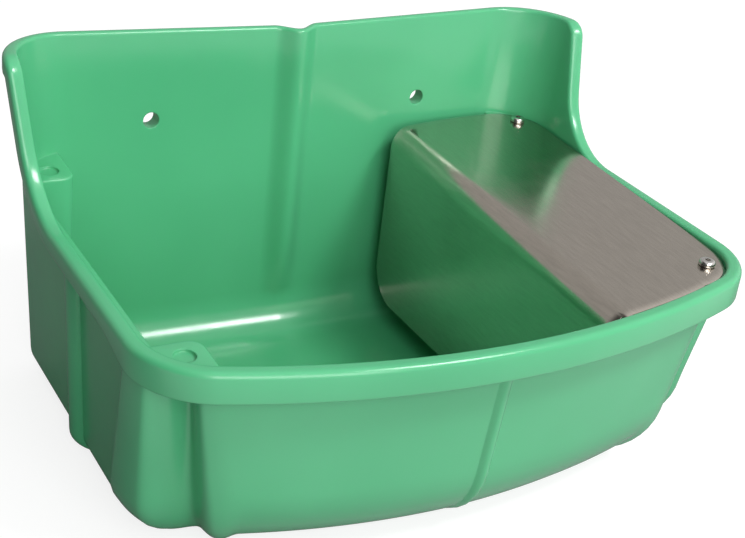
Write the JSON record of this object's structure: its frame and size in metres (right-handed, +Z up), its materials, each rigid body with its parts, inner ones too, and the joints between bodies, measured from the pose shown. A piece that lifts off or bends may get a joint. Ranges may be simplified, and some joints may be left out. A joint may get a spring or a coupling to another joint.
{
  "type": "wall-mounted animal waterer",
  "caption": "Wall-hung plastic drinking bowl with a high back, rolled rim and float valve under a bent stainless sheet cover screwed to its corner posts.",
  "frame": {"origin": "on the wall plane at the back of the two bolt bosses, midway between the bolt holes", "axes": "+Z up, +X to the right as one faces the bowl (the inlet side), +Y into the wall, so the bowl is towards -Y"},
  "size_m": [0.4838, 0.359, 0.266],
  "materials": {
    "bowl_plastic": "glossy",
    "stainless": "satin",
    "brass": "satin",
    "rubber": "matte",
    "white_plastic": "matte"
  },
  "bodies": {
    "bowl": {"bowl": "bowl_plastic", "cover_plate": "stainless", "cover_screw_rear": "stainless", "cover_screw_front": "stainless", "insert_rear": "brass", "insert_front": "brass", "valve_body": "brass", "inlet_seal": "rubber", "inlet_washer": "stainless", "inlet_nut": "brass", "nozzle": "white_plastic", "pivot_pin": "stainless", "pivot_clip": "stainless"},
    "float_arm": {"float_lever": "brass", "float_rod": "stainless", "float": "white_plastic", "float_washer_rear": "stainless", "float_washer_front": "stainless", "float_nut_rear": "stainless", "float_nut_front": "stainless"},
    "piston": {"piston": "brass", "piston_disc": "rubber"},
    "plug": {"drain_plug": "rubber"}
  },
  "joints": [
    {"name": "float_hinge", "type": "hinge", "parent": "bowl", "child": "float_arm", "pos_m": [0.14925, -0.146, -0.076], "axis": [-1, 0, 0], "range_deg": [0, 20]},
    {"name": "piston_slide", "type": "slide", "parent": "bowl", "child": "piston", "axis": [0, 1, 0], "range_m": [0, 0.00487]},
    {"name": "plug_lift", "type": "slide", "parent": "bowl", "child": "plug", "axis": [0, 0, 1], "range_m": [0, 0.04]}
  ],
  "couplings": [
    {"joint": "piston_slide", "follows": "float_hinge", "m_per_rad": 0.01393}
  ]
}
